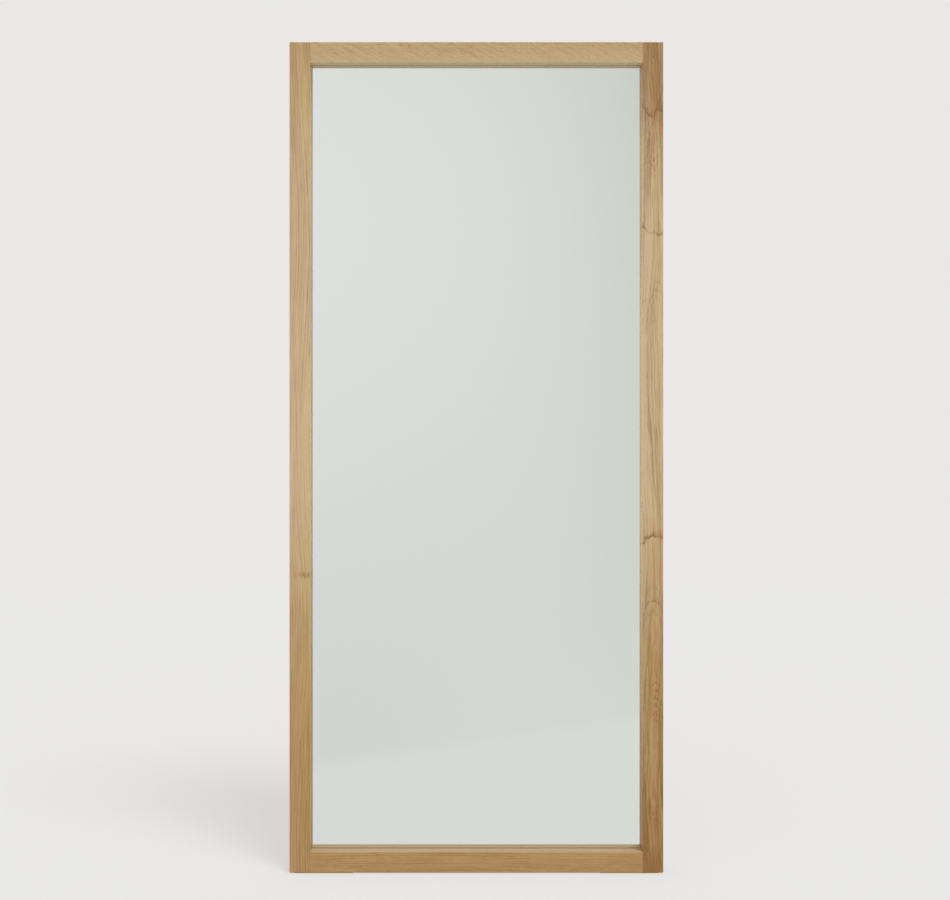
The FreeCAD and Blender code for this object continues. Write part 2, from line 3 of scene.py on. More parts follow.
import bpy
import numpy as np
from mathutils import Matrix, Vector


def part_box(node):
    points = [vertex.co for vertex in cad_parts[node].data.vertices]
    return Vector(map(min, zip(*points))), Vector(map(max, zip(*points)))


bl_info = {
    "name": "Oak floor mirror",
    "version": (1, 0, 0),
    "blender": (4, 5, 0),
    "location": "View3D > Sidebar > Floor mirror",
    "description": "Finishes every piece of a tall oak-framed floor mirror and sets it in a plain studio",
    "category": "Material",
}

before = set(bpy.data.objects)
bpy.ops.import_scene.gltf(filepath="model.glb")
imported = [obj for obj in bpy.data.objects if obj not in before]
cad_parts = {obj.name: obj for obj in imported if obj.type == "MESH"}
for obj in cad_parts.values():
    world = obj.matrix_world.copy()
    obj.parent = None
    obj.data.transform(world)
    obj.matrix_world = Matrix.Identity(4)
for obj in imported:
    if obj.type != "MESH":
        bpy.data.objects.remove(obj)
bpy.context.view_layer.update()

# Where the boards lie, read from the frame: X to the right, Y towards the wall, Z up, in metres.
LEFT_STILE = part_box("left_stile")
RIGHT_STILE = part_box("right_stile")
TOP_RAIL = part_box("top_rail")
BOTTOM_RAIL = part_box("bottom_rail")
FRONT = LEFT_STILE[0].y
QUARTER_TURN = math.pi / 2


# ---------------------------------------------------------------- sizes and colours a user would change

def colour_prop(name, description, default):
    return bpy.props.FloatVectorProperty(name=name, description=description, default=default, size=3,
                                         subtype="COLOR", min=0, max=1)


def length_prop(name, description, default):
    return bpy.props.FloatProperty(name=name, description=description, default=default, unit="LENGTH",
                                   subtype="DISTANCE")


def share_prop(name, description, default):
    return bpy.props.FloatProperty(name=name, description=description, default=default, subtype="FACTOR",
                                   min=0, max=1)


class OakSettings(bpy.types.PropertyGroup):
    light: colour_prop("Light wood", "Colour of the oak between its grain lines", (0.575, 0.368, 0.160))
    dark: colour_prop("Dark wood", "Colour of the oak's grain lines", (0.350, 0.176, 0.055))
    # painted highlight: the colour of a rail's light-catching edge, painted in along that edge
    pale: colour_prop("Painted edge highlight", "Colour that a rail pales towards along an edge", (0.62, 0.49, 0.33))
    pore: colour_prop("Pores", "Colour inside the oak's open pores", (0.22, 0.10, 0.025))
    dowel: colour_prop("Dowels", "Colour of the raw beech dowels", (0.60, 0.40, 0.22))
    # painted sheen: the white haze of a lamp's reflection at about eye height, painted into the boards'
    # colour
    painted_sheen: colour_prop("Painted sheen", "What light has added to the boards' colour at about eye height",
                       (0.145, 0.165, 0.140))
    roughness: share_prop("Roughness", "Roughness of the oak under its lacquer", 0.45)
    lacquer: share_prop("Lacquer", "How much clear satin lacquer covers the oak", 0.1)
    lacquer_roughness: share_prop("Lacquer roughness", "Roughness of the satin lacquer", 0.16)


class GlassSettings(bpy.types.PropertyGroup):
    tint: colour_prop("Mirror", "What the silvered glass gives back of white light", (0.828, 0.864, 0.839))
    tape: colour_prop("Foam tape", "Colour of the tape in front of the glass", (0.05, 0.035, 0.02))
    block: colour_prop("Setting blocks", "Colour of the rubber blocks under the glass", (0.03, 0.03, 0.03))


class BackSettings(bpy.types.PropertyGroup):
    panel: colour_prop("Back panel", "Colour of the raw hardboard", (0.24, 0.135, 0.07))
    fibre: colour_prop("Back panel fibres", "Colour of the hardboard's pale fibres", (0.40, 0.26, 0.15))
    zinc: colour_prop("Zinc plating", "Colour of the hangers", (0.66, 0.67, 0.68))
    yellow_zinc: colour_prop("Yellow zinc plating", "Colour of the screws", (0.74, 0.62, 0.34))
    bumper: colour_prop("Bumpers", "Colour of the rubber wall bumpers", (0.22, 0.22, 0.22))
    pad: colour_prop("Floor pads", "Colour of the brown rubber floor pads", (0.42, 0.24, 0.10))


class StudioSettings(bpy.types.PropertyGroup):
    background: colour_prop("Background", "Colour of the floor and of what lies behind the mirror",
                            (0.815, 0.807, 0.791))
    camera_distance: length_prop("Camera distance", "From the frame's front face to the camera", 3.0)
    camera_height: length_prop("Camera height", "The camera's height above the floor", 1.159)
    camera_side: length_prop("Camera side", "From the mirror's middle to the camera, to the right", -0.0274)
    view_width: length_prop("View width", "Width of the picture where the frame's front face stands", 2.287)
    lamp_distance: length_prop("Lamp distance", "From the frame's front face to the front lamp", 2.0)
    lamp_height: length_prop("Lamp height", "Height of the front lamp's middle above the floor", 1.25)


# ---------------------------------------------------------------- building node trees

class Nodes:
    """Adds nodes to one tree and links or sets what they are given: a value may be a socket or plain."""

    COLUMN = 190
    ROW = 170
    ROWS = 6
    MIX_INPUTS = (0, 6, 7)  # a Mix node's share and its two colours
    MIX_RESULT = 2

    def __init__(self, tree):
        self.tree = tree

    def add(self, kind, inputs=None, **settings):
        node = self.tree.nodes.new(kind)
        column, row = divmod(len(self.tree.nodes), self.ROWS)
        node.location = (column * self.COLUMN, -row * self.ROW)
        for name, value in settings.items():
            setattr(node, name, value)
        for name, value in (inputs or {}).items():
            self.feed(node.inputs[name], value)
        return node

    def feed(self, socket, value):
        if isinstance(value, bpy.types.NodeSocket):
            self.tree.links.new(value, socket)
        else:
            socket.default_value = value

    def math(self, operation, *values, clamp=False):
        return self.add("ShaderNodeMath", dict(enumerate(values)), operation=operation,
                        use_clamp=clamp).outputs[0]

    def total(self, first, *others):
        for other in others:
            first = self.math("ADD", first, other)
        return first

    def product(self, first, *others):
        for other in others:
            first = self.math("MULTIPLY", first, other)
        return first

    def bell(self, squared):
        """A bell shape: e to the power of minus what is already squared."""
        return self.math("EXPONENT", self.product(squared, -1.0))

    def vector(self, operation, *values):
        return self.add("ShaderNodeVectorMath", dict(enumerate(values)), operation=operation).outputs[0]

    def measure(self, operation, *values):
        """What a vector operation gives as one number, such as a length."""
        return self.vector(operation, *values).node.outputs["Value"]

    def scaled(self, vector, factor):
        result = self.vector("SCALE", vector)
        self.feed(result.node.inputs["Scale"], factor)
        return result

    def noise(self, place, scales, seed=0.0, detail=2.0, roughness=0.5):
        """Smooth noise of 0 to 1 about 0.5, with its value first and a colour of three such values. It has
        one scale, or three for the axes."""
        if isinstance(scales, tuple):
            place = self.vector("MULTIPLY", place, scales)
            scales = 1
        node = self.add("ShaderNodeTexNoise", {"Vector": place, "W": seed, "Scale": scales, "Detail": detail,
                                               "Roughness": roughness}, noise_dimensions="4D")
        return node.outputs["Fac"], node.outputs["Color"]

    def ramp(self, value, low, high, to_low=0.0, to_high=1.0, kind="SMOOTHSTEP"):
        """Takes a value from the span low to high to the span to_low to to_high, and holds it there."""
        return self.add("ShaderNodeMapRange", {"Value": value, "From Min": low, "From Max": high,
                                               "To Min": to_low, "To Max": to_high},
                        interpolation_type=kind).outputs[0]

    def blend(self, share, first, second, mode="MIX"):
        """Two colours mixed by share, 0 for the first."""
        node = self.add("ShaderNodeMix", data_type="RGBA", blend_type=mode)
        for index, value in zip(self.MIX_INPUTS, (share, first, second)):
            self.feed(node.inputs[index], value)
        return node.outputs[self.MIX_RESULT]

    def axes(self, place):
        return self.add("ShaderNodeSeparateXYZ", {0: place}).outputs

    def join(self, x, y, z):
        return self.add("ShaderNodeCombineXYZ", {0: x, 1: y, 2: z}).outputs[0]


def rgba(colour):
    return (*colour, 1.0)


def shaded(colour, factor):
    return [min(1.0, part * factor) for part in colour]


def make_group(name, inputs, outputs):
    """An empty shader group. An input is (name, kind, default) and an output is (name, kind)."""
    tree = bpy.data.node_groups.new(name, "ShaderNodeTree")
    for label, kind, default in inputs:
        socket = tree.interface.new_socket(label, in_out="INPUT", socket_type=f"NodeSocket{kind}")
        if default is not None:
            socket.default_value = default
    for label, kind in outputs:
        tree.interface.new_socket(label, in_out="OUTPUT", socket_type=f"NodeSocket{kind}")
    nodes = Nodes(tree)
    given = nodes.add("NodeGroupInput").outputs
    result = nodes.add("NodeGroupOutput").inputs
    return tree, nodes, given, result


def start_material(name):
    """A new material, as the material, its node helper and its Principled shader's inputs."""
    material = bpy.data.materials.new(name)
    material.use_nodes = True
    nodes = Nodes(material.node_tree)
    shader = material.node_tree.nodes["Principled BSDF"]
    return material, nodes, shader.inputs


def finish_piece(name, material):
    """Gives a CAD node its material."""
    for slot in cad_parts[name].material_slots:
        slot.material = material


def finish_pieces(beginnings, material):
    """Gives each CAD node whose name begins with one of the beginnings its material."""
    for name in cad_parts:
        if name.startswith(beginnings):
            finish_piece(name, material)


# ---------------------------------------------------------------- oak

BOARD_WIDTH = LEFT_STILE[1].x - LEFT_STILE[0].x
# Distances from a board's middle between which its front turns into the face round the opening.
OPENING_FACE = (BOARD_WIDTH / 2 - 0.0006, BOARD_WIDTH / 2 - 0.0001)
OAK_SPECULAR = 0.15  # bare wood has less sheen than the shader's usual half
OAK_BUMP = {"Strength": 0.3, "Distance": 0.0002}
PAINTED_SHEEN_FROM_BELOW = (0.30, 1.15)  # heights above the floor between which the painted sheen, a lamp's white reflection painted into the boards' colour, grows
PAINTED_SHEEN_TO_ABOVE = (1.45, 2.30)  # and between which it goes again
PAINTED_SHEEN_BY_TONE = (1.25, 0.40)  # how strongly it takes on light wood, and on dark lines

# Scales of the noises in the oak, for a board's own axes: X across its face, Y into its depth, Z along
# the grain.
SLOW_BENDS = (6, 6, 2.2)
QUICK_BENDS = (55, 55, 14)
STREAKS = (190, 190, 5)
MOTTLING = (90, 90, 20)
CLOUDS = (9, 9, 3.2)
FLECKS = (520, 240, 80)
PORES = (1500, 1500, 60)
ARCH_BREAKS = (70, 70, 70)
ARCH_SHAKE = (110, 110, 60)
# Noises that go with the rings: how much of one a ring's width passes through, and where it is read.
RING_SPACING = (0.45, 3.0)
RING_WEIGHTS = (0.8, 11.0)
RING_BANDS = (0.22, 23.0)
RING_LENGTHS = 1.2  # how fast they change along the grain

EDGE_RISE = (0.90, 1.0)  # the part of a ring in which the dark edge to the next one rises,
EDGE_FADE = (0.0, 0.42)  # and the part of the next ring in which it fades
RING_SHIFT = 1.8  # how many ring widths the spacing's noise moves a ring
FINE_LINES = 3.0  # in each ring
FINE_STRENGTH = 0.55  # beside the rings' own lines
MOTTLING_STRENGTH = 0.08
CLOUD_STRENGTH = 0.06
PORE_STRENGTH = 0.30
KNOT_SCALES = (46, 30, 130)  # one over the distance at which a knot has died away to about a third
KNOT_DARKNESS = 110.0  # for each metre that it swells the rings

ARCH_PHASE = 10.5  # sets the sharpest line at half a step, and keeps the count of steps above 0
ARCH_RISE = (0.44, 0.50)  # where in a step its line grows dark,
ARCH_LINE = (0.50, 0.58)  # where the line ends,
ARCH_SHADE = (0.50, 1.00)  # and where the shade beside it dies away
ARCH_SHADE_STRENGTH = 0.62
ARCH_SHAKE_REACH = (0.012, 0.0, 0.026)
ARCH_DEPTHS = (0.001, 0.014)  # depths behind the front face between which a flat-sawn face's arches end


def build_arch_group():
    """One family of arches in a flat-sawn face: lines where height plus opening * (across)^2 is the same.

    The line through the apex is the sharpest, dark on one side and fading to the other. Fainter ones
    follow it at even steps and die away over the reach. A negative opening turns the arches over."""
    tree, n, given, result = make_group("oak_arch", [
        ("Vector", "Vector", None),
        ("Across", "Float", 0.0),
        ("Height", "Float", 0.0),
        ("Opening", "Float", 20.0),
        ("Step", "Float", 0.02),
        ("Reach", "Float", 0.03),
        ("Strength", "Float", 0.3),
    ], [("Tone", "Float")])
    x, _, z = n.axes(given["Vector"])
    across = n.math("SUBTRACT", x, given["Across"])
    curve = n.product(across, across, given["Opening"])
    level = n.total(n.math("SUBTRACT", z, given["Height"]), curve)
    steps = n.math("DIVIDE", level, given["Step"])
    within = n.math("FRACT", n.total(steps, ARCH_PHASE))
    rise = n.ramp(within, *ARCH_RISE)
    line = n.product(rise, n.ramp(within, *ARCH_LINE, 1.0, 0.0))
    shade = n.product(rise, n.ramp(within, *ARCH_SHADE, ARCH_SHADE_STRENGTH, 0.0))
    broken, _ = n.noise(given["Vector"], ARCH_BREAKS, seed=9.0, detail=1)
    line = n.product(n.total(line, shade), n.ramp(broken, 0.35, 0.6, 0.45, 1.0))
    gone = n.math("DIVIDE", level, given["Reach"])
    near = n.bell(n.product(gone, gone))
    n.feed(result["Tone"], n.product(line, near, given["Strength"]))
    return tree


def build_oak_group():
    """Oak as a solid, in a board's own axes: X across its face, Y into its depth, Z along the grain.

    The rings lie about a far pith line, so a face shows nearly straight lines that drift from side to
    side along the board and sway a little. Each ring has a thin dark edge that fades to one side. Pores
    are fine dashes along the grain, flecks are short strokes that slant across it, and a knot swells
    the rings round one place. Figure is what the board's own arches and dark ends add.
    """
    tree, n, given, result = make_group("oak_board", [
        ("Vector", "Vector", None),
        ("Light", "Color", None),
        ("Dark", "Color", None),
        ("Pore", "Color", None),
        ("Seed", "Float", 0.0),
        ("Pith Side", "Float", 0.0),
        ("Pith Depth", "Float", 0.06),
        ("Ring Width", "Float", 0.005),
        ("Drift", "Float", 0.0),
        ("Drift Turns", "Float", 6.0),
        ("Drift Start", "Float", 0.0),
        ("Sway", "Float", 0.01),
        ("Flutter", "Float", 0.002),
        ("Line Strength", "Float", 0.5),
        ("Band Strength", "Float", 0.3),
        ("Streak Strength", "Float", 0.3),
        ("Fleck Strength", "Float", 0.2),
        ("Slant", "Float", 0.0),
        ("Tone", "Float", 0.22),
        ("Knot", "Vector", None),
        ("Knot Swell", "Float", 0.0),
        ("Roughness", "Float", 0.46),
        ("Figure", "Float", 0.0),
        ("Painted Sheen", "Color", None),
        ("Above Floor", "Float", 0.0),
    ], [("Color", "Color"), ("Roughness", "Float"), ("Height", "Float")])
    place = given["Vector"]
    seed = given["Seed"]
    bent = bend_grain(n, given)
    x, y, z = n.axes(bent)
    turn = n.total(n.product(z, given["Drift Turns"]), given["Drift Start"])
    drift = n.product(n.math("SINE", turn), given["Drift"])

    # the knot: a bell over its own place
    off_knot = n.vector("MULTIPLY", n.vector("SUBTRACT", place, given["Knot"]), KNOT_SCALES)
    knot = n.bell(n.measure("DOT_PRODUCT", off_knot, off_knot))

    # the rings
    across = n.math("SUBTRACT", n.total(x, drift), given["Pith Side"])
    depth = n.total(given["Pith Depth"], y)
    radius = n.math("SQRT", n.total(n.product(across, across), n.product(depth, depth)))
    swollen = n.total(radius, n.product(knot, given["Knot Swell"]))
    even = n.math("DIVIDE", swollen, given["Ring Width"])

    def along_rings(scale, offset):
        """Noise that changes only from ring to ring, and slowly along them."""
        spot = n.join(n.product(even, scale), offset, n.product(z, RING_LENGTHS))
        return n.noise(spot, 1, seed, 1)[0]

    ring = n.total(even, n.product(along_rings(*RING_SPACING), RING_SHIFT))
    within = n.math("FRACT", ring)
    edge = n.math("MAXIMUM", n.ramp(within, *EDGE_FADE, 1.0, 0.0), n.ramp(within, *EDGE_RISE))
    weight = n.ramp(along_rings(*RING_WEIGHTS), 0.34, 0.62, 0.3, 1.0)
    fine_within = n.math("FRACT", n.product(ring, FINE_LINES))
    fine = n.ramp(n.math("ABSOLUTE", n.math("SUBTRACT", fine_within, 0.5)), 0.0, 0.5)
    band = n.ramp(along_rings(*RING_BANDS), 0.30, 0.70, -1.0, 1.0)

    # streaks along the grain, mottling, flecks and pores
    turned = n.add("ShaderNodeVectorRotate", {"Vector": bent, "Angle": given["Slant"]},
                   rotation_type="Y_AXIS").outputs[0]
    streak, _ = n.noise(turned, STREAKS, seed, 3, 0.60)
    mottle, _ = n.noise(turned, MOTTLING, seed, 3)
    cloud, _ = n.noise(place, CLOUDS, seed, 2)
    flecks, _ = n.noise(turned, FLECKS, seed, 1)
    fleck = n.ramp(flecks, 0.57, 0.68)
    dashes, _ = n.noise(bent, PORES, seed, 1)
    pore = n.product(n.ramp(dashes, 0.56, 0.66), n.total(n.product(edge, 0.6), 0.4))

    def spread(value):
        return n.ramp(value, 0.3, 0.7, -1.0, 1.0)

    # the tone: 0 is light wood, 1 the dark of a line, and beyond that it goes towards the pores' colour
    tone = given["Tone"]
    for part, strength in (
            (n.product(edge, weight), given["Line Strength"]),
            (fine, n.product(given["Line Strength"], FINE_STRENGTH)),
            (band, given["Band Strength"]),
            (spread(streak), given["Streak Strength"]),
            (spread(mottle), MOTTLING_STRENGTH),
            (spread(cloud), CLOUD_STRENGTH),
            (fleck, given["Fleck Strength"]),
            (knot, n.product(given["Knot Swell"], KNOT_DARKNESS)),
            (given["Figure"], 1.0)):
        tone = n.total(tone, n.product(part, strength))
    wood = n.blend(n.math("ADD", tone, 0.0, clamp=True), given["Light"], given["Dark"])
    deep = n.ramp(tone, 1.0, 2.0, 0.0, 0.5)
    wood = n.blend(n.math("MAXIMUM", n.product(pore, PORE_STRENGTH), deep), wood, given["Pore"])

    # the painted sheen: a front lamp's white reflection painted into the colour, by height above the floor
    # and by tone
    above = given["Above Floor"]
    by_height = n.product(n.ramp(above, *PAINTED_SHEEN_FROM_BELOW), n.ramp(above, *PAINTED_SHEEN_TO_ABOVE, 1.0, 0.0))
    painted_sheen_amount = n.product(by_height, n.ramp(tone, 0.0, 1.5, *PAINTED_SHEEN_BY_TONE))
    n.feed(result["Color"], n.blend(painted_sheen_amount, wood, given["Painted Sheen"], "ADD"))

    rough = n.total(given["Roughness"], n.product(n.math("SUBTRACT", streak, 0.5), 0.12))
    n.feed(result["Roughness"], n.math("ADD", rough, n.product(pore, 0.15), clamp=True))
    n.feed(result["Height"], n.math("SUBTRACT", 1.0, pore))
    return tree


def noise_shift(n, noise):
    """A noise's colour, taken about its middle grey, so that it moves a place to every side alike."""
    return n.vector("SUBTRACT", noise, (0.5, 0.5, 0.5))


def bend_grain(n, given):
    """The board's own place, swayed slowly and fluttered quickly along the grain."""
    place = given["Vector"]
    _, slow = n.noise(place, SLOW_BENDS, given["Seed"], 2)
    _, quick = n.noise(place, QUICK_BENDS, given["Seed"], 2)
    for wave, amount in ((slow, given["Sway"]), (quick, given["Flutter"])):
        place = n.vector("ADD", place, n.scaled(noise_shift(n, wave), amount))
    return place


def add_arches(n, own, depth, arches, seed):
    """The tone of a flat-sawn face's arches, shaken a little, which ends a little behind the face."""
    _, shake = n.noise(own, ARCH_SHAKE, seed, 3, 0.62)
    shaken = n.vector("ADD", own, n.vector("MULTIPLY", noise_shift(n, shake), ARCH_SHAKE_REACH))
    arch_group = build_arch_group()
    tone = 0.0
    for arch in arches:
        values = dict(zip(ARCH_VALUES, arch))
        node = n.add("ShaderNodeGroup", {"Vector": shaken, **values}, node_tree=arch_group)
        tone = n.total(tone, node.outputs[0])
    return n.product(tone, n.ramp(depth, *ARCH_DEPTHS, 1.0, 0.0))


def middle(box):
    low, high = box
    return (low + high) / 2


def oak_material(name, group, settings, box, grain, opening, along_x=False, arches=(), ends=(),
                 painted_highlight_edge=None, painted_sheen_amount=1.0):
    """One board's oak, its pattern centred on the board, and turned where the grain runs along X."""
    material, n, shader = start_material(name)
    place = n.add("ShaderNodeTexCoord").outputs["Object"]
    moved = n.vector("SUBTRACT", place, middle(box))
    rotation = (0, -QUARTER_TURN, 0) if along_x else (0, 0, 0)
    own = n.add("ShaderNodeMapping", {"Vector": moved, "Rotation": rotation}).outputs[0]
    x, _, z = n.axes(own)
    _, towards_wall, above_floor = n.axes(place)
    figure = 0.0
    if arches:
        depth = n.math("SUBTRACT", towards_wall, FRONT)
        figure = add_arches(n, own, depth, arches, grain["Seed"])
    for begin, full, strength in ends:
        figure = n.total(figure, n.ramp(z, begin, full, 0.0, strength))
    oak = n.add("ShaderNodeGroup", {
        "Vector": own, "Light": rgba(settings.light), "Dark": rgba(settings.dark),
        "Pore": rgba(settings.pore), "Roughness": settings.roughness, "Figure": figure,
        # the painted sheen of a lamp's reflection, scaled for this board
        "Painted Sheen": rgba(shaded(settings.painted_sheen, painted_sheen_amount)), "Above Floor": above_floor, **grain,
    }, node_tree=group)
    colour = oak.outputs["Color"]
    # a painted highlight along the rail's edge towards the opening, in place of the light caught there
    if painted_highlight_edge:
        begin, full, share = painted_highlight_edge
        colour = n.blend(n.ramp(x, begin, full, 0.0, share), colour, rgba(settings.pale))
    # painted light: the face round the opening is brightened in its colour, in place of the light that
    # reaches it
    side, painted_light_gain = opening
    colour = n.scaled(colour, n.ramp(n.product(x, side), *OPENING_FACE, 1.0, painted_light_gain))
    bump = n.add("ShaderNodeBump", {"Height": oak.outputs["Height"], **OAK_BUMP})
    n.feed(shader["Base Color"], colour)
    n.feed(shader["Roughness"], oak.outputs["Roughness"])
    n.feed(shader["Normal"], bump.outputs[0])
    shader["Specular IOR Level"].default_value = OAK_SPECULAR
    shader["Coat Weight"].default_value = settings.lacquer
    shader["Coat Roughness"].default_value = settings.lacquer_roughness
    return material


# The families of arches in the right stile's figure, in metres from the board's middle.
ARCH_VALUES = ("Across", "Height", "Opening", "Step", "Reach", "Strength")
RIGHT_ARCHES = (
    (0.002, 0.961, -230.0, 0.013, 0.016, 0.85),
    (-0.006, 0.820, -75.0, 0.050, 0.014, 1.15),
    (0.017, 0.838, 110.0, 0.050, 0.012, 0.90),
    (0.003, 0.714, -270.0, 0.020, 0.042, 0.80),
    (0.014, 0.537, -12.0, 0.060, 0.009, 0.65),
    (0.010, 0.402, 90.0, 0.022, 0.024, 0.70),
    (-0.016, 0.378, 90.0, 0.022, 0.016, 0.60),
    (0.006, -0.189, 18.0, 0.060, 0.012, 0.95),
    (0.0, -0.344, 60.0, 0.030, 0.036, 0.55),
    (0.006, -0.579, 170.0, 0.018, 0.050, 0.85),
    (0.004, -0.860, -90.0, 0.016, 0.024, 0.45),
)
# Its two dark ends: (height where the dark begins, height where it is full, strength), the upper in two.
RIGHT_ENDS = (
    (0.45, 0.82, 0.20),
    (0.78, 0.84, 0.22),
    (-0.56, -0.96, 0.66),
)

# What sets each board's oak apart. Opening is the side of the board that faces the glass, 1 or -1 across
# it, and how much brighter its face there is painted: painted light, in place of the light that reaches the
# faces round the opening. A painted highlight edge is (across where it begins, across where it is full,
# share). Grain is what the oak_board group is given.
BOARDS = {
    "left_stile": {
        "box": LEFT_STILE, "opening": (1, 1.25),
        "grain": {
            "Seed": 1.3, "Pith Side": -0.14, "Pith Depth": 0.05, "Ring Width": 0.0066,
            "Drift": 0.013, "Drift Turns": 6.3, "Drift Start": 1.2, "Sway": 0.020, "Flutter": 0.0030,
            "Line Strength": 0.52, "Band Strength": 0.10, "Streak Strength": 0.20,
            "Fleck Strength": 0.04, "Tone": 0.0, "Knot": (0.013, -0.022, -0.283), "Knot Swell": 0.006,
        },
    },
    "right_stile": {
        "box": RIGHT_STILE, "opening": (-1, 1.55), "arches": RIGHT_ARCHES, "ends": RIGHT_ENDS,
        "grain": {
            "Seed": 7.9, "Pith Side": 0.05, "Pith Depth": 0.045, "Ring Width": 0.0072,
            "Drift": 0.010, "Drift Turns": 7.1, "Sway": 0.030, "Flutter": 0.009,
            "Line Strength": 0.46, "Band Strength": 0.18, "Streak Strength": 0.34,
            "Fleck Strength": 0.10, "Tone": 0.06,
        },
    },
    "top_rail": {
        "box": TOP_RAIL, "along_x": True, "opening": (1, 1.1), "painted_highlight_edge": (0.004, 0.022, 0.30),
        # the top rail takes more painted sheen, which also stands for its paler wood
        "painted_sheen_amount": 1.7,
        "grain": {
            "Seed": 3.1, "Pith Side": -0.16, "Pith Depth": 0.10, "Ring Width": 0.0050,
            "Sway": 0.014, "Flutter": 0.003, "Line Strength": 0.16, "Band Strength": 0.05,
            "Streak Strength": 0.13, "Fleck Strength": 0.44, "Slant": -math.radians(27), "Tone": 0.13,
        },
    },
    "bottom_rail": {
        "box": BOTTOM_RAIL, "along_x": True, "opening": (-1, 1.05), "painted_highlight_edge": (-0.0243, -0.0249, 0.47),
        "grain": {
            "Seed": 5.7, "Pith Side": 0.12, "Pith Depth": 0.08, "Ring Width": 0.0058,
            "Sway": 0.010, "Flutter": 0.005, "Line Strength": 0.26, "Band Strength": 0.03,
            "Streak Strength": 0.18, "Fleck Strength": 0.24, "Tone": 0.09,
        },
    },
}


class MIRROR_OT_oak_boards(bpy.types.Operator):
    """Gives each of the frame's four boards its own oak"""
    bl_idname = "floor_mirror.oak_boards"
    bl_label = "Oak boards"

    def execute(self, context):
        settings = context.scene.mirror_oak
        group = build_oak_group()
        for name, board in BOARDS.items():
            finish_piece(name, oak_material(f"oak_{name}", group, settings, **board))
        return {"FINISHED"}


DOWEL_FLECKS = (120, 900, 900)


class MIRROR_OT_dowels(bpy.types.Operator):
    """Gives the dowels in the corners raw beech, with its short dark ray flecks"""
    bl_idname = "floor_mirror.dowels"
    bl_label = "Dowels"

    def execute(self, context):
        material, n, shader = start_material("beech_dowel")
        place = n.add("ShaderNodeTexCoord").outputs["Object"]
        flecks, _ = n.noise(place, DOWEL_FLECKS, seed=2.0, detail=1)
        colour = context.scene.mirror_oak.dowel
        fleck = n.ramp(flecks, 0.58, 0.68)
        n.feed(shader["Base Color"], n.blend(fleck, rgba(colour), rgba(shaded(colour, 0.6))))
        n.feed(shader["Roughness"], n.ramp(flecks, 0.3, 0.7, 0.6, 0.75))
        finish_pieces("dowels_", material)
        return {"FINISHED"}


# ---------------------------------------------------------------- glass and what holds it

def build_wear_group():
    """Faint handling marks: a fine grain and soft cloudy patches, as a colour, a roughness and a height."""
    tree, n, given, result = make_group("surface_wear", [
        ("Vector", "Vector", None),
        ("Color", "Color", None),
        ("Mark Color", "Color", None),
        ("Grain", "Float", 900.0),
        ("Patches", "Float", 60.0),
        ("Amount", "Float", 0.3),
        ("Roughness", "Float", 0.5),
    ], [("Color", "Color"), ("Roughness", "Float"), ("Height", "Float")])
    grain, _ = n.noise(given["Vector"], given["Grain"], seed=1.0, detail=2)
    cloud, _ = n.noise(given["Vector"], given["Patches"], seed=4.0, detail=3)
    mark = n.total(n.ramp(grain, 0.35, 0.65, 0.0, 0.5), n.ramp(cloud, 0.35, 0.65, 0.0, 0.5))
    amount = n.product(mark, given["Amount"])
    n.feed(result["Color"], n.blend(amount, given["Color"], given["Mark Color"]))
    spread = n.product(n.math("SUBTRACT", mark, 0.5), n.product(given["Amount"], 0.4))
    n.feed(result["Roughness"], n.math("ADD", given["Roughness"], spread, clamp=True))
    n.feed(result["Height"], grain)
    return tree


def worn_material(name, colour, mark, grain, patches, amount, roughness, metallic=0.0, bump=0.0001):
    """A plain finish with faint marks: rubber, foam, plating or hardboard. Grain and patches are noise
    scales, amount is how strongly the marks show, and bump is the grain's height."""
    material, n, shader = start_material(name)
    place = n.add("ShaderNodeTexCoord").outputs["Object"]
    group = bpy.data.node_groups.get("surface_wear") or build_wear_group()
    wear = n.add("ShaderNodeGroup", {
        "Vector": place, "Color": rgba(colour), "Mark Color": rgba(mark), "Grain": grain,
        "Patches": patches, "Amount": amount, "Roughness": roughness,
    }, node_tree=group)
    relief = n.add("ShaderNodeBump", {"Height": wear.outputs["Height"], "Strength": 0.4, "Distance": bump})
    n.feed(shader["Base Color"], wear.outputs["Color"])
    n.feed(shader["Roughness"], wear.outputs["Roughness"])
    n.feed(shader["Normal"], relief.outputs[0])
    shader["Metallic"].default_value = metallic
    return material


class MIRROR_OT_glass(bpy.types.Operator):
    """Silvers the glass: a clear, faintly green mirror"""
    bl_idname = "floor_mirror.glass"
    bl_label = "Mirror glass"

    def execute(self, context):
        material, _, shader = start_material("mirror_glass")
        shader["Base Color"].default_value = rgba(context.scene.mirror_glass.tint)
        shader["Metallic"].default_value = 1.0
        shader["Roughness"].default_value = 0.0
        finish_piece("mirror_glass", material)
        return {"FINISHED"}


class MIRROR_OT_glazing(bpy.types.Operator):
    """Gives the foam tape and the setting blocks their dark foam and rubber"""
    bl_idname = "floor_mirror.glazing"
    bl_label = "Tape and setting blocks"

    def execute(self, context):
        settings = context.scene.mirror_glass
        foam = worn_material("foam_tape", settings.tape, shaded(settings.tape, 2.0), grain=2500,
                             patches=200, amount=0.6, roughness=0.85)
        rubber = worn_material("block_rubber", settings.block, shaded(settings.block, 1.8), grain=1500,
                               patches=90, amount=0.5, roughness=0.7)
        finish_pieces("glazing_tape_", foam)
        finish_pieces("setting_block_", rubber)
        return {"FINISHED"}


# ---------------------------------------------------------------- the back and the hardware

PLATING_BUMP = 0.00003
PINK_ZINC = (0.70, 0.50, 0.42)  # the tinge in the screws' yellow plating


